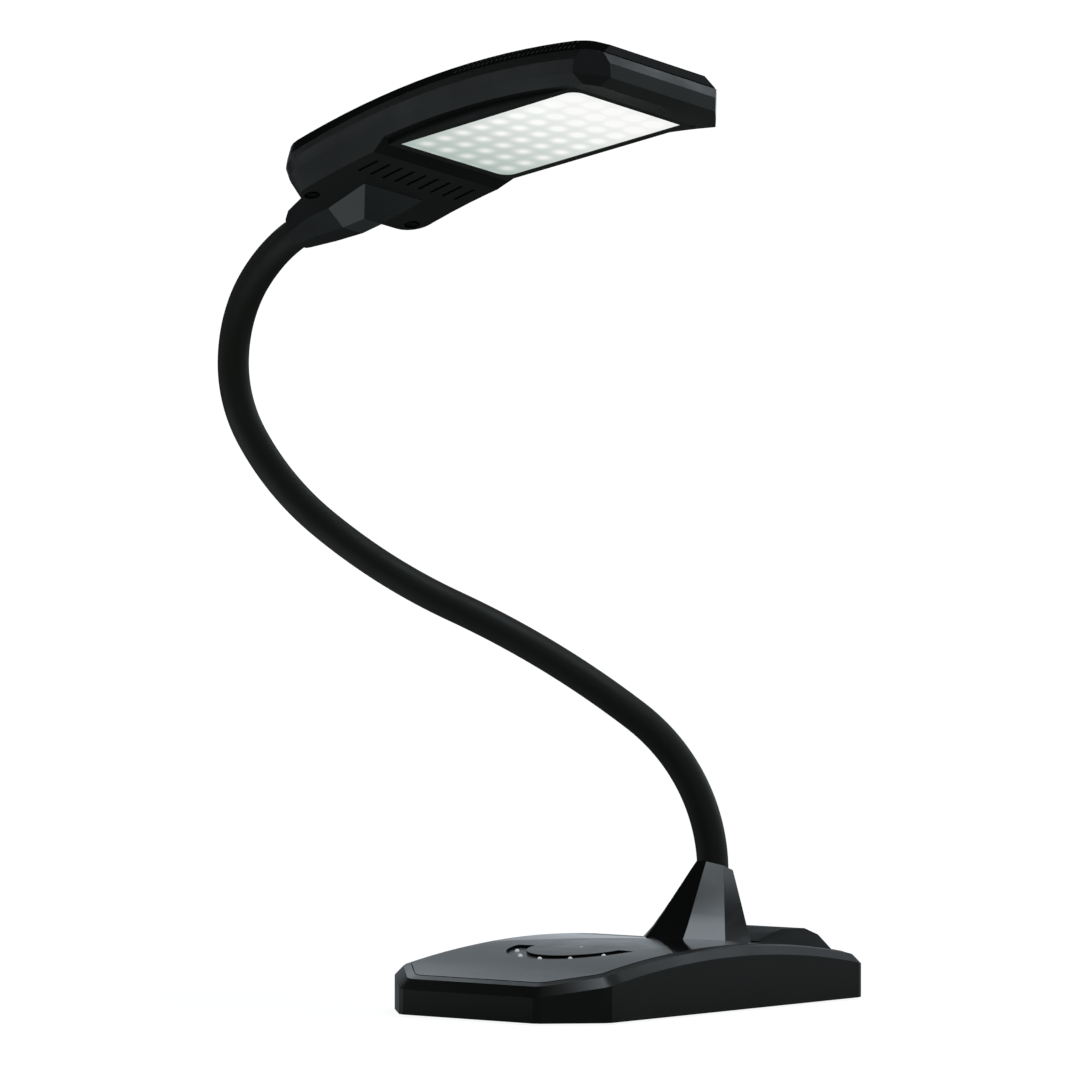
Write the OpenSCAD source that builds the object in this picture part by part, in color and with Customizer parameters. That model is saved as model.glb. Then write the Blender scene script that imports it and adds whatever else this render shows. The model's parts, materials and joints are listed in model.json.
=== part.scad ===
// Gooseneck desk lamp: weighted base with touch dimmer, bendable neck, flat LED head.
// Z is up, the desk is z = 0, the front of the base faces -Y, and the pedestal stands at +Y.

/* [Base housing] */
// Length of the base, front to rear
base_l = 244.4; // [240:0.2:256]
// Width of the base
base_w = 131; // [126:1:140]
// Leg of the four 45 degree corner cuts
base_corner = 23.9; // [20:0.1:28]
// Height of the wall at the two ends, above the feet
end_wall_h = 11.8; // [11.4:0.2:14]
// How much higher the wall is at mid length
arch_rise = 13.6; // [12.6:0.2:15]
// Wall thickness of the base housing
base_wall = 2.4; // [2:0.1:3]
// Inset of the bevel that runs round the top
bevel_in = 4; // [3:0.1:5]
// Rise of that bevel
bevel_up = 4; // [3:0.1:5]
// Width of the flat ledge between bevel and panel
ledge_w = 3.6; // [2.5:0.1:5]
// Gap between the desk and the housing
foot_gap = 1; // [0.6:0.1:2]

/* [Touch panel] */
// Thickness of the touch panel and of the glossy deck
panel_t = 2.4; // [2:0.1:3]
// Seam round the panel
panel_seam = 0.35; // [0.2:0.05:0.6]
// Where the two diagonal rear edges of the panel would meet
panel_apex_y = 18; // [8:1:22]
// Centre of the dimmer ring, in front of the middle
ring_y = -38.5; // [-46:0.5:-32]
// Middle radius of the dimmer ring
ring_r = 30.6; // [24:0.2:34]
// Width of the dimmer ring
ring_w = 9.6; // [7:0.2:12]
// Depth of the dimmer ring
ring_depth = 1.2; // [0.6:0.1:1.4]
// Half of the angle that the ring spans
ring_half_angle = 84; // [70:1:95]
// Number of level lights
level_count = 5; // [3:1:7]
// Angle between level lights
level_step = 30; // [15:1:30]
// Radius of a level light
level_r = 0.8; // [0.6:0.05:1.1]

/* [Pedestal] */
// Distance from the base centre to the neck
neck_y = 64.4; // [60:0.2:68]
// Half width of the pedestal foot
foot_half_w = 26.3; // [24:0.1:28]
// Front of the pedestal foot
foot_front_y = 24; // [23:0.5:28]
// Rear of the pedestal foot
foot_rear_y = 78; // [76:0.5:80]
// Corner cut of the pedestal foot
foot_corner = 17.1; // [15:0.1:18]
// Half length of the pedestal top
top_half = 9.8; // [9.6:0.1:11]
// Corner cut of the pedestal top
top_corner = 6.1; // [4:0.1:6.5]
// Height of the pedestal top at its middle, above the feet
pedestal_top_z = 62.4; // [60:0.2:65]
// Backward slope of the pedestal top, in degrees
top_slope = 19; // [10:1:24]
// Curve of the front faces, 1 is flat
front_curve = 0.82; // [0.7:0.01:1]
// Wall thickness of the pedestal
pedestal_wall = 2.2; // [1.8:0.1:2.4]

/* [Neck] */
// Radius of the rubber sleeve
sleeve_r = 7.7; // [7.3:0.1:8]
// Height above the feet at which the neck starts to bend
bend_start_z = 60; // [59.6:0.2:62]
// Radius of the low bend
low_bend_r = 96.6; // [92:0.2:100]
// Angle of the low bend
low_bend = 52.5; // [50:0.5:54]
// Radius of the long nearly straight stretch
long_bend_r = 470; // [440:5:500]
// Angle of that stretch
long_bend = 12.66; // [11:0.02:14]
// Radius of the first back bend
back_bend_r = 296.7; // [290:0.1:304]
// Angle of the first back bend
back_bend = 14.96; // [13:0.02:16]
// Radius of the second back bend
rise_bend_r = 142.6; // [138:0.2:146]
// Angle of the second back bend
rise_bend = 21.93; // [20:0.01:23]
// Radius of the bend that ends upright
upright_bend_r = 75.7; // [73:0.1:78]
// Angle of the bend that ends upright
upright_bend = 28.27; // [27:0.01:30]
// Radius of the sharp bend below the head
sharp_bend_r = 59.9; // [57:0.1:62]
// Angle of the sharp bend
sharp_bend = 41.94; // [40:0.01:44]
// Radius of the last bend
last_bend_r = 89.04; // [86:0.02:92]
// Angle of the last bend
last_bend = 25.26; // [24:0.01:27]
// Radius of the spring core
core_r = 4.4; // [4:0.1:4.8]
// Radius of the lead inside the core
lead_r = 1.6; // [1.2:0.1:2]
// Gap between ball and cup at each flex point
flex_gap = 0.5; // [0.4:0.05:0.6]

/* [Lamp head] */
// Half width of the head
head_half_w = 44.9; // [43:0.5:48]
// From the middle of the window to the tip
head_tip = 83.4; // [80:0.5:88]
// From the middle of the window to the rear end
head_rear = 142.4; // [140:0.5:145]
// Corner cut at the tip
tip_corner = 12.2; // [9:0.1:14]
// Corner radius of the tip below that cut
tip_round = 9; // [6:0.5:10]
// Corner radius at the rear
rear_round = 15; // [13:0.5:16]
// Wall thickness of the head
head_wall = 2.2; // [1.8:0.1:2.4]
// Length of the lit window
window_l = 119.3; // [112:0.5:122]
// Width of the lit window
window_w = 66.6; // [62:0.5:69]
// Corner radius of the lit window
window_round = 6; // [4:0.5:8]
// Thickness of the diffuser
diffuser_t = 2; // [1.6:0.1:2.4]
// Distance between LEDs
led_pitch = 12.53; // [11.5:0.1:12.8]
// Number of vent slots
vent_count = 9; // [6:1:9]
// Distance between vent slots
vent_pitch = 7.55; // [6:0.05:8]
// Length of a vent slot
vent_l = 14; // [8:0.5:16]

/* [Hidden] */

black = [0.03, 0.03, 0.035];
grey = [0.22, 0.22, 0.23];
steel = [0.6, 0.6, 0.62];
green = [0.05, 0.22, 0.12];
half_l = base_l / 2;
half_w = base_w / 2;
base_r = (half_l * half_l + arch_rise * arch_rise) / (2 * arch_rise);
ledge_in = bevel_in + ledge_w;
ledge_up = bevel_up + 0.7;
deck_up = bevel_up + 0.9;
seat_up = deck_up - panel_t;
roof_up = seat_up - base_wall;
plate_t = 2;
plate_top = foot_gap + plate_t;
ballast_t = 6;
ballast_top = plate_top + ballast_t;
boss_x = half_w - 13;
boss_y = half_l - 27;
foot_x = half_w - 24;
foot_y = half_l - 42;
ring_front = ring_y - ring_r - ring_w / 2 - 2;
board_top = base_z(ring_front, roof_up) - 0.8;
board_x = ring_r + 3;
board_rear = ring_y + 31;
jack_h = end_wall_h - 3.6;
jack_w = 10;
jack_l = 13;
inlet_r = 3.6;
inlet_z = plate_top + jack_h / 2;
top_half_w = top_half - 0.7;
foot_screw_y = foot_front_y + 11.5;
top_y = neck_y + 0.6;
socket_r = sleeve_r - 0.3;
socket_top = foot_gap + bend_start_z;
ferrule_r = core_r + 1.2;
ferrule_z = ballast_top + 12;
neck_hole_r = sleeve_r + 0.45;
ball_r = sleeve_r - 0.3;
cup_r = sleeve_r + flex_gap;
bore_r = core_r + 0.1;
bend_heading = 219.5;
root_bend = 13.5;
bends = [[0, low_bend_r, root_bend], [0, low_bend_r, low_bend - root_bend],
    [0, long_bend_r, long_bend / 2], [0, long_bend_r, long_bend / 2],
    [180, back_bend_r, back_bend], [0, rise_bend_r, rise_bend], [0, upright_bend_r, upright_bend],
    [-44.76, sharp_bend_r, sharp_bend], [1.3, last_bend_r, last_bend]];
head_r = 538;
head_peak = -11.6;
seam_u = -head_rear + 10.7;
seam_n = head_n(seam_u, 1.18);
neck_exit = [-head_rear - 29.9, seam_n];
exit_rise = 14.3;
cover_r = 589; // the cover is arched a little flatter than the shell
cover_peak = -13;
rear_in = 6.3; // inset of the rear end at the parting line
rear_bend = 2.9; // at the bend above it
rear_top = 1.2; // under the cover
rear_low = 10.4; // and at the underside
frame_u = window_l / 2 + 4.3;
frame_v = window_w / 2 + 4;
spreader_z = 12;
spreader_u = frame_u + 6.5;
post_u = frame_u + 2.6;
post_v = frame_v - 9;
screw_u = -head_rear + 17.3;
screw_v = head_half_w - 13.4;

// Height of the base's arched surface, offset up from the top of the wall.
function base_z(y, up) = foot_gap + end_wall_h + arch_rise + up - base_r + sqrt(base_r * base_r - y * y);
// Height of the head's arched surface.
function head_n(u, up) = up - head_r + sqrt(head_r * head_r - (u - head_peak) * (u - head_peak));
function cover_n(u, up) = up - cover_r + sqrt(cover_r * cover_r - (u - cover_peak) * (u - cover_peak));
function lerp(a, b, t) = a + (b - a) * t;
function ramp(a, b, n) = [for (k = [0:n]) a + (b - a) * k / n];

// Corner cut whose two vertical edges are broken: four points, from the end face to the long side.
function cut_corner(end, side, leg, e, s) = [
    [s * (end), side - leg - e], [s * (end - 0.7 * e), side - leg + 0.7 * e],
    [s * (end - leg + 0.7 * e), side - 0.7 * e], [s * (end - leg - e), side]];
function reversed(a) = [for (k = [len(a) - 1:-1:0]) a[k]];

// Half outline of the base, inset from the wall, rear to front.
function base_half(i) = let (leg = base_corner - 0.586 * i, s = half_l - base_corner - 12) concat(
    cut_corner(half_l - i, half_w - i, leg, 2.2, 1),
    [for (u = ramp(s, -s, 16)) [u, half_w - i]],
    reversed(cut_corner(half_l - i, half_w - i, leg, 2.2, -1)));
// Half outline of the head: side, tip and rear insets, tip to rear.
function head_half(i, ti, ri, rr) = let (s = head_tip - 24, e = -head_rear + 25,
    t = max(2, tip_round - ti / 2)) concat(
    [for (a = ramp(0, 90, 6)) [head_tip - ti - t + t * cos(a), head_half_w - i - t + t * sin(a)]],
    [for (u = ramp(s, e, 14)) [u, head_half_w - i]],
    [for (a = ramp(90, 180, 6)) [-head_rear + ri + rr + rr * cos(a), head_half_w - i - rr + rr * sin(a)]]);
function base_ring(i, up) = [for (p = base_half(i)) [p[0], p[1], base_z(p[0], up)]];
function base_flat(i, z) = [for (p = base_half(i)) [p[0], p[1], z]];
function head_ring(i, up, ti, ri, rr) = [for (p = head_half(i, ti, ri, rr)) [p[0], p[1], head_n(p[0], up)]];
function crown_ring(i, up, ti, ri, rr) = [for (p = head_half(i, ti, ri, rr)) [p[0], p[1], cover_n(p[0], up)]];

// Closed skin through half rings that are mirrored across the second axis.
module skin(h) {
    m = len(h[0]);
    t = 2 * m;
    top = (len(h) - 1) * t;
    points = [for (r = h) each concat(r, [for (k = [m - 1:-1:0]) [r[k][0], -r[k][1], r[k][2]]])];
    faces = concat(
        [for (k = [0:m - 2]) [k, k + 1, t - 2 - k, t - 1 - k]],
        [for (k = [0:m - 2]) [top + t - 1 - k, top + t - 2 - k, top + k + 1, top + k]],
        [for (j = [0:len(h) - 2], k = [0:t - 1]) [j * t + k, (j + 1) * t + k, (j + 1) * t + (k + 1) % t]],
        [for (j = [0:len(h) - 2], k = [0:t - 1])
            [j * t + k, (j + 1) * t + (k + 1) % t, j * t + (k + 1) % t]]);
    polyhedron(points, faces);
}

module along_y() rotate([0, 0, 90]) children();

module flat_octagon(i, h) {
    p = base_half(i);
    linear_extrude(height = h) polygon(concat(
        [for (q = p) [q[1], q[0]]], [for (q = reversed(p)) [-q[1], q[0]]]));
}

module four(x, y) for (sx = [-1, 1], sy = [-1, 1]) translate([sx * x, sy * y, 0]) children();
module five(x, y) {
    four(x, y) children();
    children();
}

// ---- base ----
module base_housing() color(black) difference() {
    union() {
        difference() {
            along_y() skin([base_flat(0, foot_gap), base_ring(0, 0), base_ring(bevel_in, bevel_up),
                base_ring(ledge_in, ledge_up), base_ring(ledge_in, seat_up)]);
            along_y() skin([base_flat(base_wall, foot_gap - 5), base_ring(base_wall, -1.5),
                base_ring(base_wall + 3.2, roof_up)]);
        }
        intersection() {
            union() {
                four(boss_x, boss_y) translate([0, 0, plate_top]) cylinder(r = 4, h = 60, $fn = 32);
                for (s = [-1, 1], y = [ring_front + 5, board_rear - 5])
                    translate([s * (board_x - 5), y, board_top]) cylinder(r = 3, h = 40, $fn = 32);
                for (s = [-1, 1]) translate([s * 18, foot_screw_y, 17]) cylinder(r = 3.4, h = 40, $fn = 32);
            }
            along_y() skin([base_flat(base_wall / 2, foot_gap - 5), base_ring(base_wall / 2, -1.5),
                base_ring(base_wall + 2, roof_up + base_wall / 2)]);
        }
    }
    four(boss_x, boss_y) translate([0, 0, plate_top - 1]) cylinder(r = 1.3, h = 9, $fn = 24);
    lights(level_r + 0.15, board_top - 1, 60);
    for (s = [-1, 1]) {
        translate([s * (board_x - 5), ring_front + 5, board_top - 1]) cylinder(r = 1, h = 2.4, $fn = 24);
        translate([s * (board_x - 5), board_rear - 5, board_top - 1]) cylinder(r = 1, h = 4, $fn = 24);
        translate([s * 18, foot_screw_y, 0]) cylinder(r = 1.3, h = 60, $fn = 24);
    }
    translate([0, neck_y, 0]) cylinder(r = socket_r + 0.4, h = 60, $fn = 48);
    translate([0, half_l - base_wall - 1, inlet_z]) rotate([-90, 0, 0])
        cylinder(r = inlet_r, h = base_wall + 2, $fn = 48);
}

module bottom_plate() color(black) difference() {
    translate([0, 0, foot_gap]) flat_octagon(base_wall + 0.15, plate_t);
    five(foot_x, foot_y) translate([0, 0, foot_gap - 1]) cylinder(r = 9.1, h = 2, $fn = 48);
    four(boss_x, boss_y) {
        translate([0, 0, 0]) cylinder(r = 1.5, h = 9, $fn = 24);
        translate([0, 0, 0]) cylinder(r = 2.6, h = foot_gap + 1.2, $fn = 32);
    }
}

module ballast_plate() color(steel) difference() {
    translate([0, 0, plate_top]) flat_octagon(9, ballast_t);
    four(boss_x, boss_y) cylinder(r = 5, h = 60, $fn = 32);
    four(boss_x + 8, boss_y + 8) translate([-8, -8, 0]) cube([16, 16, 60]);
    translate([-jack_w / 2 - 2, half_l - 20, 0]) cube([jack_w + 4, 40, 60]);
    translate([0, neck_y, 0]) {
        cylinder(r = 6.1, h = 60, $fn = 48);
        cylinder(r = 11, h = plate_top + 3.4, $fn = 48);
    }
}

module rubber_feet() color(black) five(foot_x, foot_y) {
    cylinder(r = 8.4, h = 0.4, $fn = 48);
    translate([0, 0, 0.4]) cylinder(r = 9, h = foot_gap + 0.6, $fn = 48);
}

module base_screws() color(steel) {
    four(boss_x, boss_y) {
        translate([0, 0, foot_gap + 0.1]) cylinder(r = 2.4, h = 1.1, $fn = 32);
        translate([0, 0, foot_gap + 1.2]) cylinder(r = 1.25, h = 7, $fn = 24);
    }
    for (s = [-1, 1]) for (y = [ring_front + 5, board_rear - 5])
        translate([s * (board_x - 5), y, board_top - 3]) {
            cylinder(r = 1.8, h = 1.4, $fn = 24);
            cylinder(r = 0.95, h = 4.2, $fn = 24);
        }
}

module panel_area(grow) linear_extrude(height = 80) polygon([[-100, -300], [100, -300],
    [100, panel_apex_y - 100 + grow], [0, panel_apex_y + grow], [-100, panel_apex_y - 100 + grow]]);

module deck_plate() along_y() skin([base_ring(ledge_in + panel_seam, seat_up + 0.05),
    base_ring(ledge_in + panel_seam, deck_up)]);

module ring_area(grow) translate([0, ring_y, 0]) rotate([0, 0, -90 - ring_half_angle])
    rotate_extrude(angle = 2 * ring_half_angle, $fn = 96)
        translate([ring_r - ring_w / 2 - grow, 0]) square([ring_w + 2 * grow, 80]);

module lights(r, z, h) for (k = [0:level_count - 1])
    translate([0, ring_y, z]) rotate([0, 0, -90 + (k - (level_count - 1) / 2) * level_step])
        translate([ring_r, 0, 0]) cylinder(r = r, h = h, $fn = 24);

module touch_panel() color(grey) difference() {
    intersection() {
        deck_plate();
        panel_area(-panel_seam * 0.7);
    }
    intersection() {
        ring_area(0);
        along_y() skin([base_ring(ledge_in - 2, deck_up - ring_depth), base_ring(ledge_in - 2, deck_up + 9)]);
    }
    lights(level_r + 0.06, 0, 80);
}

module level_lights() color([0.9, 0.9, 0.9]) for (k = [0:level_count - 1]) {
    a = -90 + (k - (level_count - 1) / 2) * level_step;
    y = ring_y + ring_r * sin(a);
    translate([ring_r * cos(a), y, board_top]) {
        cylinder(r = level_r, h = base_z(y, deck_up - ring_depth) - board_top, $fn = 24);
        cylinder(r = level_r + 0.05, h = 0.4, $fn = 24);
    }
}

module touch_board() color(green) difference() {
    union() {
        translate([-board_x, ring_front, board_top - 1.6]) cube([2 * board_x, board_rear - ring_front, 1.6]);
        translate([-9, ring_y - 6, board_top - 3.6]) cube([12, 12, 2.2]);
        translate([8, ring_y + 8, board_top - 4.6]) cube([9, 6, 3.2]);
    }
    for (s = [-1, 1]) for (y = [ring_front + 5, board_rear - 5])
        translate([s * (board_x - 5), y, board_top - 3]) cylinder(r = 1.05, h = 9, $fn = 24);
}

module driver_board() color(green) {
    translate([-24, neck_y + 20, ballast_top + 1.4]) cube([48, 18, 1.2]);
    translate([-20, neck_y + 23, ballast_top + 2.5]) cube([9, 11, 2]);
    translate([-6, neck_y + 22, ballast_top + 2.5]) cube([6, 6, 1.6]);
    translate([8, neck_y + 24, ballast_top + 2.5]) cube([12, 8, 1.8]);
    for (s = [-1, 1]) for (y = [22.5, 35.5])
        translate([s * 21.5, neck_y + y, ballast_top]) cylinder(r = 2, h = 1.5, $fn = 24);
}

module dc_socket() color(black) difference() {
    translate([-jack_w / 2, half_l - base_wall - jack_l, plate_top]) cube([jack_w, jack_l, jack_h]);
    translate([0, half_l - base_wall - 9, inlet_z]) rotate([-90, 0, 0]) difference() {
        cylinder(r = 2.75, h = 20, $fn = 48);
        translate([0, 0, -1]) cylinder(r = 1, h = 8, $fn = 24);
    }
}

// Half rings of the faceted pedestal, from its foot to its slanted top.
function foot_ring(g) = [[foot_rear_y + g, 10 + g], [foot_rear_y - foot_corner + 0.3, foot_half_w + g],
    [foot_front_y + foot_corner - 0.8, foot_half_w + g],
    [foot_front_y - g, foot_half_w - foot_corner + 3 + g]];
function top_ring(g) = [[top_y + top_half + g, top_half_w - top_corner + g * 0.6],
    [top_y + top_half - top_corner, top_half_w + g], [top_y - top_half + top_corner, top_half_w + g],
    [top_y - top_half - g, top_half_w - top_corner + g * 0.6]];
function top_z(y) = foot_gap + pedestal_top_z - (y - top_y) * tan(top_slope);
function tower_ring(t, g, low, high) = [for (k = [0:3]) let (a = foot_ring(g)[k], b = top_ring(g)[k],
    s = (k > 1) ? pow(t, front_curve) : t, y = lerp(a[0], b[0], s), x = lerp(a[1], b[1], s))
    [y, x, lerp(base_z(y, low), top_z(y) + high, t)]];
module tower(g, low, high) along_y() skin([for (t = ramp(0, 1, 6)) tower_ring(t, g, low, high)]);

module pedestal() color(black) difference() {
    union() {
        difference() {
            deck_plate();
            panel_area(panel_seam * 0.7);
        }
        tower(0, seat_up + 0.6, 0);
    }
    difference() {
        tower(-pedestal_wall, seat_up - 1, -pedestal_wall);
        for (s = [-1, 1]) translate([s * 18, foot_screw_y, 0]) cylinder(r = 3, h = 60, $fn = 32);
    }
    translate([0, neck_y, 0]) cylinder(r = neck_hole_r, h = 90, $fn = 48);
    for (s = [-1, 1]) translate([s * 18, foot_screw_y, 0])
        cylinder(r = 1.05, h = base_z(foot_screw_y, seat_up) + 2.8, $fn = 24);
}

module pedestal_screws() color(steel) for (s = [-1, 1])
    translate([s * 18, foot_screw_y, 14.8]) {
        cylinder(r = 2.6, h = 2.2, $fn = 32);
        cylinder(r = 1, h = base_z(foot_screw_y, seat_up) + 2 - 14.8, $fn = 24);
    }

module neck_socket() color(steel) translate([0, neck_y, 0]) rotate_extrude($fn = 64) polygon([
    [2.5, plate_top + 0.6], [6, plate_top + 0.6], [6, ballast_top], [15, ballast_top],
    [15, ballast_top + 3], [socket_r, ballast_top + 3], [socket_r, socket_top],
    [ferrule_r + 0.1, socket_top], [ferrule_r + 0.1, ferrule_z], [2.5, ferrule_z]]);

module neck_nut() color(steel) translate([0, neck_y, plate_top + 0.4]) difference() {
    cylinder(r = 9.5, h = 3, $fn = 6);
    translate([0, 0, -1]) cylinder(r = 6.05, h = 9, $fn = 48);
}

// Matte fairing behind the pedestal.
cover_front = foot_rear_y - 12;
cover_back = half_l - ledge_in - panel_seam - 0.4;
cover_edge = cover_front + 22;
// Half ring of the fairing: y, half width and height above the deck, rear to front.
function cover_ring(p) = [for (q = p) [q[0], q[1], base_z(q[0], deck_up) + q[2]]];
module rear_cover() color(black) difference() {
    along_y() skin([
        cover_ring([[cover_back, 36, 0.15], [cover_back - 4, 41, 0.15], [cover_edge + 9, 39, 0.15],
            [cover_edge, 36, 0.15], [cover_edge - 10, 32, 0.15], [cover_front, 28, 0.15]]),
        cover_ring([[cover_back - 3.4, 29, 9], [cover_back - 6.2, 32, 8.8], [cover_edge + 9, 31, 7.8],
            [cover_edge, 29.5, 6.8], [cover_edge - 10, 28, 4.2], [cover_front, 27.6, 0.5]]),
        cover_ring([[cover_back - 7.3, 24, 11.4], [cover_back - 9.3, 26, 11.2], [cover_edge + 9, 25.5, 9.9],
            [cover_edge, 25, 8.7], [cover_edge - 10, 25, 5.6], [cover_front, 25.5, 0.9]])]);
    tower(0.2, seat_up + 0.6, 0);
}

// ---- neck ----
module past(b) rotate([0, 0, b[0]]) translate([b[1], 0, 0]) rotate([0, b[2], 0])
    translate([-b[1], 0, 0]) children();
module to_link(k) {
    if (k > 0) to_link(k - 1) past(bends[k - 1]) children();
    else translate([0, neck_y, foot_gap + bend_start_z]) rotate([0, 0, bend_heading]) children();
}
module arc(b, r, hole, from) rotate([0, 0, b[0]]) translate([b[1], 0, 0]) rotate([90, 0, 0])
    rotate([0, 0, 180 - b[2]]) rotate_extrude(angle = b[2] - from, $fn = 48) translate([b[1], 0])
        difference() {
            circle(r = r, $fn = 48);
            if (hole > 0) circle(r = hole, $fn = 48);
        }

module root_sleeve() color(black) to_link(0) difference() {
    union() {
        arc(bends[0], sleeve_r, 0, 0);
        past(bends[0]) sphere(r = ball_r, $fn = 48);
    }
    arc(bends[0], bore_r, 0, -1);
}
module root_core() color(steel) to_link(0) difference() {
    union() {
        translate([0, 0, ferrule_z - socket_top])
            cylinder(r = ferrule_r, h = socket_top - ferrule_z, $fn = 48);
        arc(bends[0], core_r, 0, -1);
    }
    translate([0, 0, ferrule_z - socket_top - 1])
        cylinder(r = lead_r + 0.8, h = socket_top - ferrule_z + 0.5, $fn = 48);
    arc(bends[0], lead_r + 0.4, 0, -1.2);
}
module link_sleeve(k, ball) color(black) to_link(k) difference() {
    union() {
        arc(bends[k], sleeve_r, 0, 0);
        if (ball) past(bends[k]) sphere(r = ball_r, $fn = 48);
    }
    sphere(r = cup_r, $fn = 64);
    arc(bends[k], bore_r, 0, 0);
}
module link_core(k) color(steel) to_link(k)
    arc(bends[k], core_r, lead_r + 0.4, (cup_r + 0.8) / bends[k][1] * 180 / PI);
module end_core() {
    link_core(8);
    color(steel) to_link(9) difference() {
        cylinder(r = core_r, h = 18, $fn = 48);
        translate([0, 0, -1]) cylinder(r = lead_r + 0.4, h = 20, $fn = 48);
    }
}

// ---- lamp head, drawn with the window's underside at n = 0 and the tip towards +u ----
module at_head() to_link(9) rotate([0, 0, -12.6]) rotate([0, -90 + exit_rise, 0])
    translate([-neck_exit[0], 0, -neck_exit[1]]) children();

module head_block(g) skin([head_ring(5.85 - g, 1.15 - g, 5.8 - g, rear_low - g, 11),
    head_ring(-g, 9.7, -g, rear_in - g, rear_round),
    head_ring(0.3 - g, 16.5, 0.4 - g, rear_bend - g, rear_round),
    head_ring(2.3 - g, 21.3, 2.7 - g, rear_top - g, rear_round),
    head_ring(2.4 - g, 21.75, 2.8 - g, rear_top + 0.1 - g, rear_round),
    crown_ring(4 - g, 25.8 + g, 4.4 - g, rear_top + 0.6 - g, rear_round - 1),
    crown_ring(9.5, 27 + g, 10.5, 9.5, rear_round - 4), crown_ring(18, 27.5 + g, 20, 18, 6)]);

// Flat cut of the two corners at the tip; what it leaves is inset by g.
module tip_cuts(g) for (s = [-1, 1])
    translate([head_tip - tip_corner / 2, s * (head_half_w - tip_corner / 2), 0])
    rotate([0, 0, s * 45]) translate([-g, -30, -40]) cube([30, 60, 90]);

// The same for the cover, whose corners lean in above the gap.
module cover_cuts(g) {
    u = head_tip - tip_corner / 2;
    tip_cuts(g);
    for (s = [-1, 1]) translate([u, s * (head_half_w - tip_corner / 2), head_n(u, 21.8)])
        rotate([0, 0, s * 45]) translate([-g, 0, 0])
            rotate([s * atan((u - head_peak) / head_r / sqrt(2)), 0, 0])
                rotate([0, -44, 0]) translate([0, -30, 0]) cube([30, 60, 60]);
}

module front_cut() difference() {
    rotate([90, 0, 0]) linear_extrude(height = 140, center = true) intersection() {
        translate([head_peak, 4.85 - head_r]) circle(r = head_r, $fn = 720);
        polygon([[-head_half_w - 29, -3.1], [-head_half_w - 17, 2.6], [-head_half_w - 12, 14], [140, 14],
            [140, -60], [-head_half_w - 29, -60]]);
    }
    translate([-frame_u, -frame_v, 0]) cube([2 * frame_u, 2 * frame_v, 30]);
}

module head_bottom() color(grey) at_head() difference() {
    union() {
        difference() {
            skin([head_ring(5.85, 1.15, 5.8, rear_low, 11), head_ring(0, 9.7, 0, rear_in, rear_round)]);
            difference() {
                skin([head_ring(2 + head_wall, 7.05, 2 + head_wall, 8.6 + head_wall, rear_round - 4),
                    head_ring(head_wall, 9.7, head_wall, rear_in + head_wall, rear_round - 2),
                    head_ring(head_wall, 14, head_wall, rear_bend + 1.5 + head_wall, rear_round - 2)]);
                tip_cuts(head_wall);
            }
            intersection() {
                skin([head_ring(4.5 + head_wall, 3.4, 4.5 + head_wall, 11.4 + head_wall, 8),
                    head_ring(2 + head_wall, 7.3, 2 + head_wall, 8.4 + head_wall, 10)]);
                translate([-220, -60, -60]) cube([220 - head_half_w - 28, 120, 120]);
            }
        }
        difference() {
            translate([-frame_u, -frame_v, 0]) cube([2 * frame_u, 2 * frame_v, 6.5]);
            translate([-window_l / 2 - 1.5, -window_w / 2 - 1.5, 1]) cube([window_l + 3, window_w + 3, 30]);
        }
        for (su = [-1, 1], sv = [-1, 1]) translate([su * post_u, sv * post_v, 3 - su])
            cylinder(r = 3, h = spreader_z - 3 + su, $fn = 32);
        for (s = [-1, 1]) translate([screw_u, s * screw_v, head_n(screw_u, 2)])
            cylinder(r = 4.3, h = 4, $fn = 32);
    }
    front_cut();
    tip_cuts(0);
    translate([-frame_u - 1, -frame_v - 1, -12]) cube([2 * frame_u + 2, 2 * frame_v + 2, 12]);
    translate([0, 0, -6]) window_prism(0.15, 30);
    translate([-window_l / 2 - 1.3, -window_w / 2 - 1.3, 2]) cube([window_l + 2.6, window_w + 2.6, 30]);
    for (k = [0:vent_count - 1])
        translate([-head_half_w - 48.4, (k - (vent_count - 1) / 2) * vent_pitch - 0.85, -30])
            cube([vent_l, 1.7, 60]);
    for (s = [-1, 1]) translate([screw_u, s * screw_v, 0]) {
        translate([0, 0, -40]) cylinder(r = 3.8, h = 40 + head_n(screw_u, 2.5), $fn = 48);
        translate([0, 0, -40]) cylinder(r = 1.6, h = 60, $fn = 24);
    }
    translate([screw_u + 3, 0, -40]) cylinder(r = 2.1, h = 60, $fn = 32);
    for (su = [-1, 1], sv = [-1, 1]) translate([su * post_u, sv * post_v, spreader_z - 7])
        cylinder(r = 1.05, h = 20, $fn = 24);
}

module window_prism(grow, h) linear_extrude(height = h) {
    l = window_l / 2 + grow;
    w = window_w / 2 + grow;
    r = window_round;
    difference() {
        square([2 * l, 2 * w], center = true);
        for (s = [-1, 1]) translate([s * (l - r), -s * (w - r)]) difference() {
            translate([s > 0 ? 0 : -r - 1, s > 0 ? -r - 1 : 0]) square(r + 1);
            circle(r = r, $fn = 48);
        }
    }
}

module diffuser() color([0.95, 0.96, 0.93]) at_head() {
    translate([0, 0, 0.3]) window_prism(0, diffuser_t);
    translate([-window_l / 2 - 1.1, -window_w / 2 - 1.1, 2.05]) cube([window_l + 2.2, window_w + 2.2, 1.2]);
}

module leds() color([0.95, 0.9, 0.6]) at_head() for (i = [-4:4], j = [-2:2])
    translate([i * led_pitch - 1.4, j * led_pitch - 1.4, spreader_z - 2.2]) cube([2.8, 2.8, 0.8]);

module led_board() color([0.9, 0.9, 0.9]) at_head()
    translate([-window_l / 2, -window_w / 2, spreader_z - 1.4]) cube([window_l, window_w, 1.4]);

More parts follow.
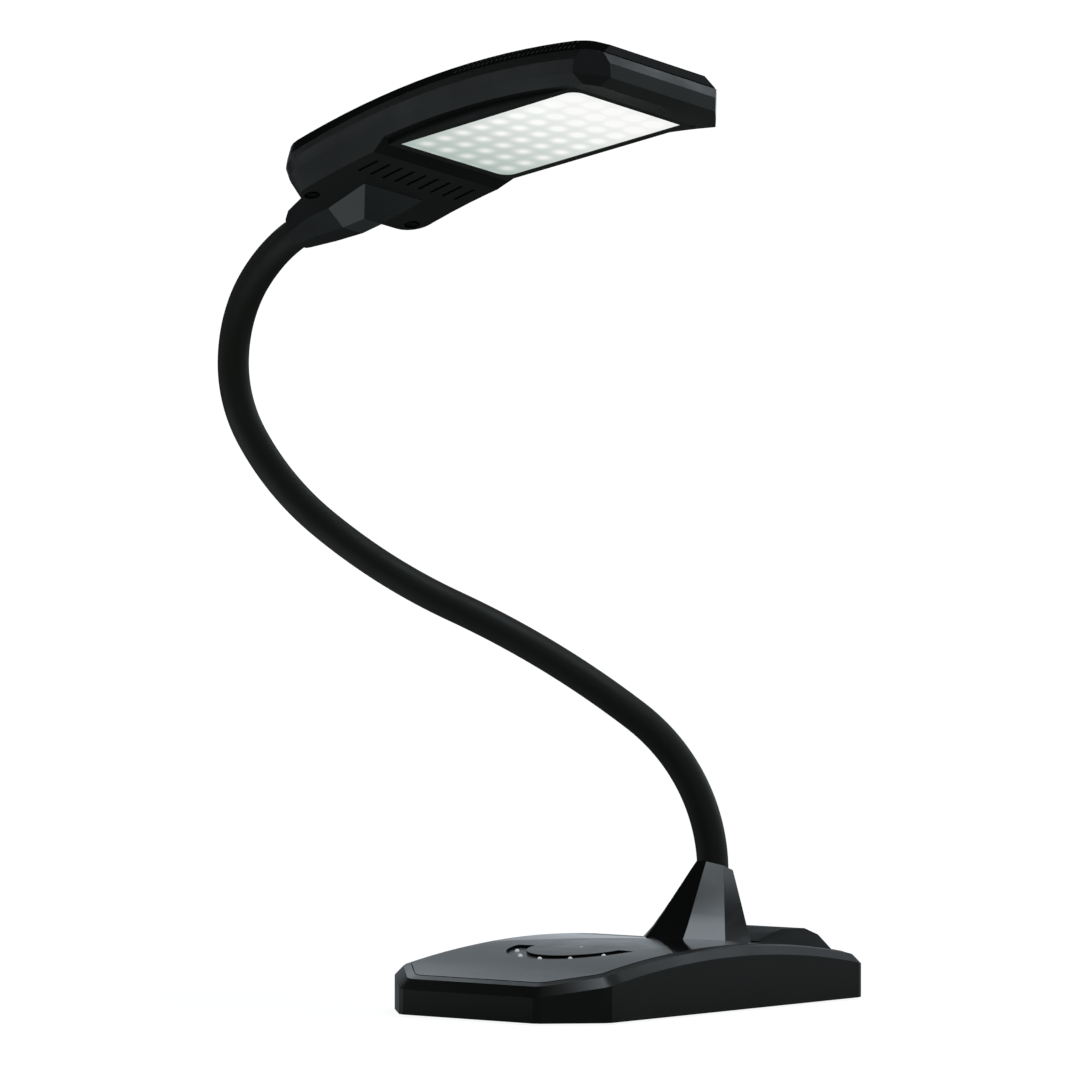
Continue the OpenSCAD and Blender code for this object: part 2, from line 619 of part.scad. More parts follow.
module heat_spreader() color(steel) at_head() difference() {
    translate([-spreader_u, -window_w / 2 - 1, spreader_z]) cube([2 * spreader_u, window_w + 2, 1.2]);
    for (su = [-1, 1], sv = [-1, 1]) translate([su * post_u, sv * post_v, 0])
        cylinder(r = 1.2, h = 30, $fn = 24);
}

module head_shell() color(grey) at_head() difference() {
    skin([head_ring(0, 9.7, 0, rear_in, rear_round), head_ring(0.3, 16.5, 0.4, rear_bend, rear_round),
        head_ring(2.3, 21.3, 2.7, rear_top, rear_round),
        head_ring(3.2, 21.3, 3.6, rear_top + 0.9, rear_round),
        head_ring(3.2, 21.7, 3.6, rear_top + 0.9, rear_round)]);
    difference() {
        skin([head_ring(head_wall, 9, head_wall, rear_in + 0.4 + head_wall, rear_round - 2),
            head_ring(head_wall + 0.3, 16.5, head_wall + 0.4, head_wall + rear_bend, rear_round - 2),
            head_ring(head_wall + 3.3, 23, head_wall + 3.7, head_wall + rear_top + 1.1, rear_round - 2)]);
        tip_cuts(head_wall);
    }
    tip_cuts(0);
}

module head_cover() color(black) at_head() difference() {
    skin([head_ring(2.4, 21.75, 2.8, rear_top + 0.1, rear_round),
        crown_ring(4, 25.8, 4.4, rear_top + 0.6, rear_round - 1),
        crown_ring(9.5, 27, 10.5, 9.5, rear_round - 4), crown_ring(18, 27.5, 20, 18, 6)]);
    difference() {
        skin([head_ring(4.7, 21, 5, rear_top + 2.4, rear_round - 2),
            crown_ring(6.2, 23.9, 6.8, rear_top + 3.6, rear_round - 3), crown_ring(11.5, 25, 12.5, 11.5, 6)]);
        cover_cuts(head_wall + 0.5);
    }
    cover_cuts(0.5);
}

module neck_adapter() color(grey) at_head() difference() {
    skin([
        [[seam_u + 0.1, 5, seam_n - 7.5], [seam_u + 0.1, 6.2, seam_n - 7.45], [seam_u + 0.1, 16, seam_n],
            [seam_u + 0.1, 16, seam_n + 8]],
        [[seam_u + 14.9, 4.6, seam_n - 5.9], [seam_u + 15, 5.7, seam_n - 5.85],
            [seam_u + 29.6, 18.4, head_n(seam_u + 29.6, 1.15)], [seam_u + 29.7, 18.4, seam_n + 10]]]);
    head_block(0.08);
    translate([screw_u + 3, 0, seam_n - 4.4]) cylinder(r = 1.55, h = 30, $fn = 24);
}

// Eight-sided ring square to the neck, s in from the neck's end; its upper corners are lifted.
function exit_ring(s, r, lift) = [for (a = [-67.5, -22.5, 22.5, 67.5]) [
    neck_exit[0] + s * cos(exit_rise) - r * sin(a) * sin(exit_rise), r * cos(a),
    seam_n + s * sin(exit_rise) + r * sin(a) * cos(exit_rise) + (a > 0 ? lift : 0)]];
module coupler() color(grey) at_head() difference() {
    skin([exit_ring(0, 8.8, 1.4), exit_ring(3, 9.8, 3.8),
        [[seam_u - 19, 5.8, seam_n - 7.7], [seam_u - 19, 13, seam_n - 0.6], [seam_u - 19.5, 13, seam_n + 13],
            [seam_u - 20, 6, seam_n + 16]],
        [[seam_u - 0.1, 6.2, seam_n - 7.45], [seam_u - 0.1, 16, seam_n + 0.2],
            [seam_u - 0.1, 16, seam_n + 10.4], [seam_u - 0.1, 7, seam_n + 17]]]);
    head_block(0.08);
    translate([neck_exit[0], 0, seam_n]) rotate([0, 90 - exit_rise, 0]) translate([0, 0, -2])
        cylinder(r = bore_r, h = 20.2, $fn = 48);
}

module neck_clamp() color(steel) at_head() difference() {
    translate([screw_u - 3, -screw_v - 4, head_n(screw_u, 2) + 4]) cube([9, 2 * screw_v + 8, 2]);
    for (s = [-1, 1]) translate([screw_u, s * screw_v, -40]) cylinder(r = 1.3, h = 60, $fn = 24);
    translate([screw_u + 3, 0, -40]) cylinder(r = 1.7, h = 60, $fn = 24);
}

module head_screws() color(steel) at_head() {
    for (s = [-1, 1]) translate([screw_u, s * screw_v, head_n(screw_u, 2.5)]) {
        translate([0, 0, -1.2]) cylinder(r = 2.8, h = 1.2, $fn = 32);
        translate([0, 0, -0.6]) cylinder(r = 1.25, h = 6, $fn = 24);
    }
    translate([screw_u + 3, 0, head_n(screw_u, 2) + 6]) {
        cylinder(r = 2.8, h = 1.4, $fn = 32);
        translate([0, 0, -12]) cylinder(r = 1.5, h = 12.5, $fn = 24);
    }
    for (su = [-1, 1], sv = [-1, 1]) translate([su * post_u, sv * post_v, spreader_z + 1.2]) {
        cylinder(r = 2, h = 1.2, $fn = 24);
        translate([0, 0, -7]) cylinder(r = 1, h = 7.5, $fn = 24);
    }
}

base_housing();
bottom_plate();
ballast_plate();
rubber_feet();
base_screws();
touch_panel();
level_lights();
touch_board();
driver_board();
pedestal();
pedestal_screws();
neck_socket();
neck_nut();
rear_cover();
dc_socket();
root_sleeve();  // sleeve_0
link_sleeve(1, true);  // sleeve_1
link_sleeve(2, true);  // sleeve_2
link_sleeve(3, true);  // sleeve_3
link_sleeve(4, true);  // sleeve_4
link_sleeve(5, true);  // sleeve_5
link_sleeve(6, true);  // sleeve_6
link_sleeve(7, true);  // sleeve_7
link_sleeve(8, false);  // sleeve_8
root_core();  // core_0
link_core(1);  // core_1
link_core(2);  // core_2
link_core(3);  // core_3
link_core(4);  // core_4
link_core(5);  // core_5
link_core(6);  // core_6
link_core(7);  // core_7
end_core();  // core_8
coupler();
neck_adapter();
head_bottom();
head_shell();
head_cover();
diffuser();
led_board();
leds();
heat_spreader();
neck_clamp();
head_screws();
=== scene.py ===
# %% [markdown]
# # A gooseneck desk lamp, dressed for the camera
# The lamp has three parts: a weighted base with a touch panel, a bendable neck under a rubber sleeve,
# and a flat LED head. This lesson refines them piece by piece: edges get the small radii that moulded
# parts have, and each plastic gets its own grain and gloss.

# %% Load the frame
import json
import math

import bmesh
import bpy
from mathutils import Matrix, Vector


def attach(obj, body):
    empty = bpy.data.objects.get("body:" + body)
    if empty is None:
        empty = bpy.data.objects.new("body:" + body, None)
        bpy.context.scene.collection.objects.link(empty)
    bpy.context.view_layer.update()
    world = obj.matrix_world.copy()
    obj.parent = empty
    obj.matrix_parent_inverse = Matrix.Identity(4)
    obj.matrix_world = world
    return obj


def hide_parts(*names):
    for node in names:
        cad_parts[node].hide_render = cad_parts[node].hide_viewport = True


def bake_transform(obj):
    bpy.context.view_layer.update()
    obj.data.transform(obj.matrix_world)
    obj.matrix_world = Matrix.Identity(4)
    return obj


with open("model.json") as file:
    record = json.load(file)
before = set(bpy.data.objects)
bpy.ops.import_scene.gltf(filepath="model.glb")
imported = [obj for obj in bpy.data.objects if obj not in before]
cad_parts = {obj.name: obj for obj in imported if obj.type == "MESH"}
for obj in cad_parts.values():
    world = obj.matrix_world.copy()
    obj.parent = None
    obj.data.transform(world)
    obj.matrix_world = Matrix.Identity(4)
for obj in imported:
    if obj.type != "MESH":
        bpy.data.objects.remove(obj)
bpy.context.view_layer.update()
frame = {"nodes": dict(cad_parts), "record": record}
nodes = frame["nodes"]
MM = 0.001

# %% [markdown]
# ## Camera
# A product picture of a desk lamp is taken from far away, so that the base and the head keep their
# proportions. A long lens at the height of the neck's middle gives level verticals.

# %% The camera
eye = bpy.data.cameras.new("eye")
LENS_MM, SENSOR_MM = 190.65, 36
LOCATION = (1.7176, -2.1532, 0.2238)
HEADING = 39.49
eye.lens = LENS_MM
eye.sensor_width = SENSOR_MM
eye.clip_end = 30
camera = bpy.data.objects.new("camera", eye)
bpy.context.scene.collection.objects.link(camera)
camera.location = LOCATION
camera.rotation_euler = (math.radians(90), 0, math.radians(HEADING))
bpy.context.scene.camera = camera
print("camera at", [round(v, 3) for v in camera.location])

# %% [markdown]
# ## Studio
# Black plastic shows little but its reflections, so the room around it is what is lit. Each soft light
# is a round glow far away: a direction, the angle that is fully lit, the angle where it has faded, and
# a brightness. The camera itself sees a plain white room.

# %% Helper: a sum of patches of light that fade at their edge
def faded_sum(tree, patches, measure, base):
    """Adds up patches, each (input value, value where it has faded, value fully lit, brightness)."""
    total = base
    for start, faded_at, lit_at, strength in patches:
        value = measure(tree, start)
        fade = tree.nodes.new("ShaderNodeMapRange")
        fade.interpolation_type = "SMOOTHSTEP"
        fade.inputs["From Min"].default_value = faded_at
        fade.inputs["From Max"].default_value = lit_at
        fade.inputs["To Max"].default_value = strength
        tree.links.new(value, fade.inputs["Value"])
        add = tree.nodes.new("ShaderNodeMath")
        tree.links.new(fade.outputs["Result"], add.inputs[0])
        if isinstance(total, float):
            add.inputs[1].default_value = total
        else:
            tree.links.new(total, add.inputs[1])
        total = add.outputs[0]
    return total


def compare(operation, source):
    """A measure for faded_sum: a vector operation between a coordinate and the patch's own vector."""
    def measure(tree, start):
        node = tree.nodes.new("ShaderNodeVectorMath")
        node.operation = operation
        node.inputs[1].default_value = start
        tree.links.new(source, node.inputs[0])
        return node.outputs["Value"]
    return measure


print("patches fade with a smooth step")

# %% Room
ROOM_BASE, FLOOR_BASE = 0.05, 0.07      # the brightness between the patches
GLOWS = [
    ((0.33, 0.04, 0.94), 3, 17, 5.0),       # overhead, for the tower's lit facet
    ((0.22, 0.75, 0.62), 3, 11, 2.2),       # high behind the lamp
    ((0.76, 0.59, 0.28), 8, 24, 0.45),      # right, behind
    ((0.43, 0.80, 0.42), 6, 15, 0.05),      # fills the tower's right side
    ((0.17, 0.95, 0.22), 9, 24, 0.9),        # low behind
    ((-0.636, 0.772, 0.0), 3, 17, 0.38),     # the far wall, seen in the base's top
    ((-0.636, 0.772, 0.1), 10, 40, 0.2),
    ((-0.72, 0.52, 0.45), 5, 14, 1.2),      # left behind, caught by rounded edges
    ((-0.87, -0.38, 0.28), 8, 21, 0.4),     # left, in front
    ((0.6, -0.75, 0.3), 10, 35, 0.2),       # faint, from the camera's side
]
scene = bpy.context.scene
scene.view_settings.view_transform = "Standard"
world = bpy.data.worlds.new("studio")
scene.world = world
world.use_nodes = True
wn = world.node_tree
wn.nodes.clear()
towards = wn.nodes.new("ShaderNodeTexCoord").outputs["Generated"]
patches = [(Vector(direction).normalized(), math.cos(math.radians(edge)),
            math.cos(math.radians(core)), strength) for direction, core, edge, strength in GLOWS]
room_light = faded_sum(wn, patches, compare("DOT_PRODUCT", towards), ROOM_BASE)
out = wn.nodes.new("ShaderNodeOutputWorld")
seen = wn.nodes.new("ShaderNodeBackground")
seen.inputs["Color"].default_value = (1, 1, 1, 1)
seen.inputs["Strength"].default_value = 1.05
felt = wn.nodes.new("ShaderNodeBackground")
felt.inputs["Color"].default_value = (0.84, 0.93, 1.0, 1)
wn.links.new(room_light, felt.inputs["Strength"])
pick = wn.nodes.new("ShaderNodeMixShader")
path = wn.nodes.new("ShaderNodeLightPath")
wn.links.new(path.outputs["Is Camera Ray"], pick.inputs[0])
wn.links.new(felt.outputs[0], pick.inputs[1])
wn.links.new(seen.outputs[0], pick.inputs[2])
wn.links.new(pick.outputs[0], out.inputs[0])
print("glows:", len(GLOWS))

# %% [markdown]
# ## Floor
# The floor is pale and fades into the white room. What the lamp mirrors of it is drawn as pools of
# light: a place on the floor, a radius that is fully lit, one where it has faded, and a brightness.

# %% Floor
POOLS = [((-0.6, -0.54), 0.2, 0.85, 0.58), ((0.68, 0.25), 0.1, 0.8, 0.32)]
floor_mesh = bmesh.new()
bmesh.ops.create_circle(floor_mesh, cap_ends=True, segments=96, radius=9)
floor_data = bpy.data.meshes.new("floor")
floor_mesh.to_mesh(floor_data)
floor_mesh.free()
floor = bpy.data.objects.new("floor", floor_data)
scene.collection.objects.link(floor)
pale = bpy.data.materials.new("pale_floor")
pale.use_nodes = True
pn = pale.node_tree
shown = pn.nodes["Principled BSDF"]
shown.inputs["Base Color"].default_value = (0.3, 0.3, 0.3, 1)
shown.inputs["Roughness"].default_value = 1
shown.inputs["Specular IOR Level"].default_value = 0.0
shown.inputs["Emission Color"].default_value = (1, 1, 1, 1)
shown.inputs["Emission Strength"].default_value = 0.93
spot_at = pn.nodes.new("ShaderNodeTexCoord").outputs["Object"]
patches = [((*place, 0), edge, core, strength) for place, core, edge, strength in POOLS]
floor_light = faded_sum(pn, patches, compare("DISTANCE", spot_at), FLOOR_BASE)
mirrored = pn.nodes.new("ShaderNodeEmission")
mirrored.inputs["Color"].default_value = (0.86, 0.96, 1.0, 1)
pn.links.new(floor_light, mirrored.inputs["Strength"])
ray = pn.nodes.new("ShaderNodeLightPath")
mix = pn.nodes.new("ShaderNodeMixShader")
pn.links.new(ray.outputs["Is Camera Ray"], mix.inputs[0])
pn.links.new(mirrored.outputs[0], mix.inputs[1])
pn.links.new(shown.outputs[0], mix.inputs[2])
pn.links.new(mix.outputs[0], pn.nodes["Material Output"].inputs[0])
floor_data.materials.append(pale)
print("floor pools:", len(POOLS))

# %% [markdown]
# ## Moulded surfaces
# Moulded plastic is never quite even. A spark-eroded mould leaves a fine grain, and handling leaves
# areas that are a little glossier. Both effects are used by several materials, so they sit in one
# node group that gives a grain height and a roughness.

# %% Grain group
grain = bpy.data.node_groups.new("moulded_grain", "ShaderNodeTree")
for name, kind, default in (("Scale", "NodeSocketFloat", 2600.0), ("Rough low", "NodeSocketFloat", 0.4),
                            ("Rough high", "NodeSocketFloat", 0.5)):
    grain.interface.new_socket(name, in_out="INPUT", socket_type=kind).default_value = default
grain.interface.new_socket("Height", in_out="OUTPUT", socket_type="NodeSocketFloat")
grain.interface.new_socket("Roughness", in_out="OUTPUT", socket_type="NodeSocketFloat")
gi = grain.nodes.new("NodeGroupInput")
go = grain.nodes.new("NodeGroupOutput")
coords = grain.nodes.new("ShaderNodeTexCoord")
fine = grain.nodes.new("ShaderNodeTexNoise")
fine.inputs["Detail"].default_value = 2
grain.links.new(coords.outputs["Object"], fine.inputs["Vector"])
grain.links.new(gi.outputs["Scale"], fine.inputs["Scale"])
grain.links.new(fine.outputs["Fac"], go.inputs["Height"])
wide = grain.nodes.new("ShaderNodeTexNoise")
wide.inputs["Scale"].default_value = 34
wide.inputs["Detail"].default_value = 4
grain.links.new(coords.outputs["Object"], wide.inputs["Vector"])
spread = grain.nodes.new("ShaderNodeMapRange")
spread.inputs["From Min"].default_value = 0.35
spread.inputs["From Max"].default_value = 0.65
grain.links.new(wide.outputs["Fac"], spread.inputs["Value"])
grain.links.new(gi.outputs["Rough low"], spread.inputs["To Min"])
grain.links.new(gi.outputs["Rough high"], spread.inputs["To Max"])
grain.links.new(spread.outputs["Result"], go.inputs["Roughness"])
print("group sockets:", [s.name for s in grain.interface.items_tree])


def plastic(name, colour, rough, scale=2600.0, bump=0.25, coat=0.0, specular=0.5, tint=0.12):
    """A moulded plastic: colour with faint variation, grain bump, roughness between two values."""
    m = bpy.data.materials.new(name)
    m.use_nodes = True
    n = m.node_tree
    s = n.nodes["Principled BSDF"]
    g = n.nodes.new("ShaderNodeGroup")
    g.node_tree = grain
    g.inputs["Scale"].default_value = scale
    g.inputs["Rough low"].default_value, g.inputs["Rough high"].default_value = rough
    n.links.new(g.outputs["Roughness"], s.inputs["Roughness"])
    b = n.nodes.new("ShaderNodeBump")
    b.inputs["Strength"].default_value = bump
    b.inputs["Distance"].default_value = 0.0001
    n.links.new(g.outputs["Height"], b.inputs["Height"])
    n.links.new(b.outputs["Normal"], s.inputs["Normal"])
    r = n.nodes.new("ShaderNodeMix")
    r.data_type = "RGBA"
    r.inputs["A"].default_value = (*[c * (1 - tint) for c in colour], 1)
    r.inputs["B"].default_value = (*[c * (1 + tint) for c in colour], 1)
    n.links.new(g.outputs["Height"], r.inputs["Factor"])
    n.links.new(r.outputs["Result"], s.inputs["Base Color"])
    s.inputs["Specular IOR Level"].default_value = specular
    s.inputs["Coat Weight"].default_value = coat
    s.inputs["Coat Roughness"].default_value = 0.03
    return m


# %% The finishes
satin_black = plastic("satin_black", (0.0060, 0.0066, 0.0035), (0.30, 0.38), bump=0.12)
cover_gloss = plastic("cover_gloss", (0.0035, 0.0035, 0.0028), (0.09, 0.14), scale=300, bump=0.02,
                      specular=0.1)
gloss_black = plastic("gloss_black", (0.0024, 0.0018, 0.0014), (0.07, 0.11), scale=300, bump=0.02,
                      tint=0.05)
head_black = plastic("head_black", (0.0068, 0.0076, 0.0032), (0.32, 0.42), bump=0.18, specular=0.56)
# A darker, duller copy of head_black for the head's underside, which faces down: painted shade.
under_shaded_black = plastic("under_shaded_black", (0.0032, 0.0036, 0.0008), (0.36, 0.46), bump=0.15, specular=0.43)
panel_satin = plastic("panel_satin", (0.011, 0.0115, 0.012), (0.20, 0.26), scale=4200, bump=0.06)
wedge_black = plastic("wedge_black", (0.021, 0.0245, 0.0235), (0.30, 0.38), bump=0.15, specular=0.9)
matte_black = plastic("matte_black", (0.0085, 0.0095, 0.0085), (0.55, 0.65), bump=0.3, specular=0.35)
# A near-black that stands in for shade in gaps and recesses: painted shade.
painted_shade_black = plastic("painted_shade_black", (0.001, 0.001, 0.001), (0.5, 0.6), specular=0.1)
rubber = plastic("sleeve_rubber", (0.0115, 0.0118, 0.0055), (0.50, 0.62), scale=1800, bump=0.35)
steel = plastic("zinc_steel", (0.5, 0.5, 0.5), (0.3, 0.45), scale=900, bump=0.2)
steel.node_tree.nodes["Principled BSDF"].inputs["Metallic"].default_value = 1
board = plastic("board_mask", (0.01, 0.09, 0.04), (0.3, 0.4), scale=900, bump=0.1)
print("finishes:", [m.name for m in bpy.data.materials])

# %% [markdown]
# ## Refining a solid
# A solid from the frame is loose triangles with knife-sharp edges. Here a copy is merged, flat areas
# are joined, and a bevel of a few tenths of a millimetre rounds its edges, as a moulding tool does.
# The arched faces are cut into strips, so shading by angle makes them read as one curve.

# %% Helper: refine
BODY = {n: b for b, members in frame["record"]["behaviour"]["bodies"].items() for n in members}


def finish_mesh(piece, bevel, angle=18, segments=3):
    """Smooth shading that breaks at real edges, and a small rounding of those edges."""
    for polygon in piece.data.polygons:
        polygon.use_smooth = True
    if bevel:
        m = piece.modifiers.new("rounding", "BEVEL")
        m.width = bevel * MM
        m.segments = segments
        m.limit_method = "ANGLE"
        m.angle_limit = math.radians(angle)
        m.harden_normals = True
        m.use_clamp_overlap = True
    return piece


def refine(node, material, bevel=0.4, angle=18, dissolve=0.4):
    """A rounded copy of a CAD node, which stands for it."""
    bm = bmesh.new()
    bm.from_mesh(nodes[node].data)
    bmesh.ops.remove_doubles(bm, verts=bm.verts, dist=0.00002)
    bmesh.ops.dissolve_limit(bm, angle_limit=math.radians(dissolve), verts=bm.verts, edges=bm.edges)
    for edge in bm.edges:
        edge.smooth = not (edge.is_manifold and edge.calc_face_angle(0) > math.radians(angle))
    data = bpy.data.meshes.new(node + "_skin")
    bm.to_mesh(data)
    bm.free()
    data.materials.append(material)
    piece = bpy.data.objects.new(node + "_skin", data)
    scene.collection.objects.link(piece)
    finish_mesh(piece, bevel, angle)
    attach(piece, BODY[node])
    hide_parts(node)
    return piece


def paint(names, material):
    """Gives CAD nodes that stay as they are their material."""
    for name in names:
        mesh = nodes[name].data
        mesh.materials.clear()
        mesh.materials.append(material)


# %% Base pieces
base_shell = refine("base_housing", satin_black, 0.6)
panel = refine("touch_panel", panel_satin, 0.15)
deck = refine("pedestal", gloss_black, 0.3, angle=30)
fairing = refine("rear_cover", matte_black, 0.5)
paint(["bottom_plate", "dc_socket"], satin_black)
paint(["rubber_feet"], rubber)
paint(["ballast_plate", "base_screws", "pedestal_screws", "neck_socket", "neck_nut"], steel)
paint(["touch_board", "driver_board"], board)
# The panel's side walls are painted near-black as painted shade, so that the gap round it reads as one
# dark line.
panel.data.materials.append(painted_shade_black)
for polygon in panel.data.polygons:
    if abs(polygon.normal.z) < 0.5:
        polygon.material_index = 1
print("base pieces:", [o.name for o in (base_shell, panel, deck, fairing)])

# %% Head pieces
head_lower = refine("head_bottom", under_shaded_black, 0.5)
head_side = refine("head_shell", head_black, 0.4)
head_top = refine("head_cover", cover_gloss, 0.5)
wedge = refine("neck_adapter", wedge_black, 0.4)
collar = refine("coupler", matte_black, 0.5)
# The screws sit in deep recesses; their near-black colour is painted shade.
paint(["head_screws"], painted_shade_black)
paint(["neck_clamp", "heat_spreader", "led_board"], steel)
paint([f"core_{k}" for k in range(9)], steel)
paint([f"sleeve_{k}" for k in range(9)], rubber)

# %% [markdown]
# ## The neck's sleeve
# The real neck is a steel hose under one smooth rubber sleeve. Its rest shape is a chain of arcs, so
# a ring is spun round one arc centre after the other. The neck bends at eight joints, so the sleeve
# is eight tubes that each cross one joint and meet in the middle of a stretch, where nothing bends.

# %% The bends: turn of the bend plane, radius and angle, from the base up
BENDS = [(0, 96.6, 13.5), (0, 96.6, 39.0), (0, 470, 6.33), (0, 470, 6.33), (180, 296.7, 14.96),
         (0, 142.6, 21.93), (0, 75.7, 28.27), (-44.76, 59.9, 41.94), (1.3, 89.04, 25.26)]
SLEEVE = 7.7


def turn(degrees, axis):
    return Matrix.Rotation(math.radians(degrees), 4, axis)


def past(bend, share=(0, 1)):
    """The step along part of one bend, from share[0] to share[1] of its angle."""
    roll, radius, angle = bend
    shift = Matrix.Translation((radius * MM, 0, 0))
    step = shift @ turn(angle * (share[1] - share[0]), "Y") @ shift.inverted()
    return (turn(roll, "Z") if share[0] == 0 else Matrix.Identity(4)) @ step


starts = [Matrix.Translation((0, 0.0644, 0.061)) @ turn(219.5, "Z")]
for bend in BENDS:
    starts.append(starts[-1] @ past(bend))
middles = [starts[k] @ past(BENDS[k], (0, 0.5)) for k in range(9)]
print("neck leaves at", [round(v * 1000, 1) for v in starts[-1].translation])


def spin_on(bm, ring, place, bend, angle, steps):
    """Spins a ring of edges on round the arc that bends towards local +X; gives the new ring."""
    centre = place @ Vector((bend[1] * MM, 0, 0))
    axis = place.to_3x3() @ Vector((0, 1, 0))
    made = bmesh.ops.spin(bm, geom=ring, cent=centre, axis=axis, angle=math.radians(angle), steps=steps)
    return [g for g in made["geom_last"] if isinstance(g, (bmesh.types.BMEdge, bmesh.types.BMVert))]


def tube(name, parts):
    """A closed tube along parts, each (bend index, from share, to share), that crosses one joint."""
    bm = bmesh.new()
    first, low, high = parts[0]
    place = starts[first] @ turn(BENDS[first][0], "Z")
    if low > 0:
        place = starts[first] @ past(BENDS[first], (0, low))
    made = bmesh.ops.create_circle(bm, segments=48, radius=SLEEVE * MM, matrix=place)
    ring = list({e for v in made["verts"] for e in v.link_edges}) + made["verts"]
    for k, low, high in parts:
        bend = BENDS[k]
        here = starts[k] @ turn(bend[0], "Z") if low == 0 else starts[k] @ past(bend, (0, low))
        angle = bend[2] * (high - low)
        steps = max(4, round(angle * math.pi / 180 * bend[1] / 1.6))
        ring = spin_on(bm, ring, here, bend, angle, steps)
    bmesh.ops.holes_fill(bm, edges=[e for e in bm.edges if e.is_boundary], sides=0)
    bmesh.ops.remove_doubles(bm, verts=bm.verts, dist=0.00001)
    bmesh.ops.recalc_face_normals(bm, faces=bm.faces)
    for edge in bm.edges:
        edge.smooth = all(len(face.verts) == 4 for face in edge.link_faces)
    for face in bm.faces:
        face.smooth = len(face.verts) == 4
    data = bpy.data.meshes.new(name)
    bm.to_mesh(data)
    bm.free()
    data.materials.append(rubber)
    piece = bpy.data.objects.new(name, data)
    scene.collection.objects.link(piece)
    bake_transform(piece)
    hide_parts(f"sleeve_{parts[0][0]}" if parts[0][1] == 0 else f"sleeve_{parts[-1][0]}")
    return piece


# %% Eight tubes
for k in range(1, 9):
    before = (k - 1, 0.0 if k == 1 else 0.5, 1.0)
    after = (k, 0.0, 1.0 if k == 8 else 0.5)
    piece = tube(f"sleeve_run_{k}", [before, after])
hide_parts("sleeve_0", "sleeve_1")

# %% [markdown]
# ## The lit window
# An opal diffuser spreads the light of 45 LEDs. Close to, each LED is still a soft round spot, and the
# window is a little dimmer and greener towards the neck. The pattern follows the sheet, so the sheet
# gets a UV map whose unit is the distance between two LEDs.

# %% The head's own axes, and the diffuser sheet
HEAD = starts[9] @ turn(-12.6, "Z") @ turn(-75.7, "Y") @ Matrix.Translation((0.1723, 0, 0.0124))
PITCH = 12.53
WINDOW = (119.3, 66.6)

# The two corner facets at the tip are polished, so they are glossier than the grained bands beside them.
CORNER_FROM = 0.07      # how far along the head its tip corners begin
ALONG, ACROSS, OUT = (HEAD.to_3x3() @ Vector(axis) for axis in ((1, 0, 0), (0, 1, 0), (0, 0, 1)))
head_side.data.materials.append(gloss_black)
polished = 0
for side in (-1, 1):
    faces_out = (ALONG + side * ACROSS).normalized()
    for polygon in head_side.data.polygons:
        level = polygon.normal - polygon.normal.dot(OUT) * OUT
        at_tip = (HEAD.inverted() @ polygon.center).x > CORNER_FROM
        if at_tip and level.length > 0.5 and level.normalized().dot(faces_out) > 0.97:
            polygon.material_index = 1
            polished += 1
print("polished corner faces:", polished)


def new_piece(bm, name, material, body, place=None, bevel=0):
    """Turns a bmesh into a piece that rides on a body, with its place in its mesh."""
    if place is not None:
        bmesh.ops.transform(bm, matrix=place, verts=bm.verts)
    data = bpy.data.meshes.new(name)
    bm.to_mesh(data)
    bm.free()
    data.materials.append(material)
    piece = bpy.data.objects.new(name, data)
    scene.collection.objects.link(piece)
    finish_mesh(piece, bevel)
    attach(piece, body)
    return piece


sheet = bmesh.new()
bmesh.ops.create_grid(sheet, x_segments=1, y_segments=1, size=0.5)
bmesh.ops.scale(sheet, vec=(WINDOW[0] * MM, WINDOW[1] * MM, 1), verts=sheet.verts)
corners = [v for v in sheet.verts if v.co.x * v.co.y < 0]
bmesh.ops.bevel(sheet, geom=corners, affect="VERTICES", offset=6 * MM, segments=8, profile=0.5,
                material=-1)
bmesh.ops.reverse_faces(sheet, faces=sheet.faces)
raised = bmesh.ops.extrude_face_region(sheet, geom=list(sheet.faces))
bmesh.ops.translate(sheet, vec=(0, 0, 2 * MM),
                    verts=[g for g in raised["geom"] if isinstance(g, bmesh.types.BMVert)])
bmesh.ops.recalc_face_normals(sheet, faces=sheet.faces)
uv = sheet.loops.layers.uv.new("led_grid")
for face in sheet.faces:
    for loop in face.loops:
        loop[uv].uv = (loop.vert.co.x / MM / PITCH, loop.vert.co.y / MM / PITCH)
bmesh.ops.translate(sheet, vec=(0, 0, 0.3 * MM), verts=sheet.verts)
glow = bpy.data.materials.new("opal_diffuser")
glow.use_nodes = True
gn = glow.node_tree
gs = gn.nodes["Principled BSDF"]


def math_node(kind, a, b=None):
    n = gn.nodes.new("ShaderNodeMath")
    n.operation = kind
    for socket, value in zip(n.inputs, (a, b)):
        if isinstance(value, (int, float)):
            socket.default_value = value
        elif value is not None:
            gn.links.new(value, socket)
    return n.outputs[0]


where = gn.nodes.new("ShaderNodeUVMap")
where.uv_map = "led_grid"
split = gn.nodes.new("ShaderNodeSeparateXYZ")
gn.links.new(where.outputs[0], split.inputs[0])
across = [math_node("SUBTRACT", split.outputs[k], math_node("ROUND", split.outputs[k])) for k in (0, 1)]
far = math_node("ADD", math_node("POWER", across[0], 2), math_node("POWER", across[1], 2))
spot = math_node("EXPONENT", math_node("MULTIPLY", far, -11))
lit = gn.nodes.new("ShaderNodeMapRange")
lit.inputs["From Min"].default_value = -4.6
lit.inputs["From Max"].default_value = 3.2
gn.links.new(split.outputs[0], lit.inputs["Value"])
level = math_node("ADD", math_node("MULTIPLY", spot, 0.62), math_node("MULTIPLY", lit.outputs[0], 0.85))
ramp = gn.nodes.new("ShaderNodeValToRGB")
ramp.color_ramp.elements[0].color = (0.42, 0.50, 0.46, 1)
ramp.color_ramp.elements[1].color = (1.0, 1.0, 0.98, 1)
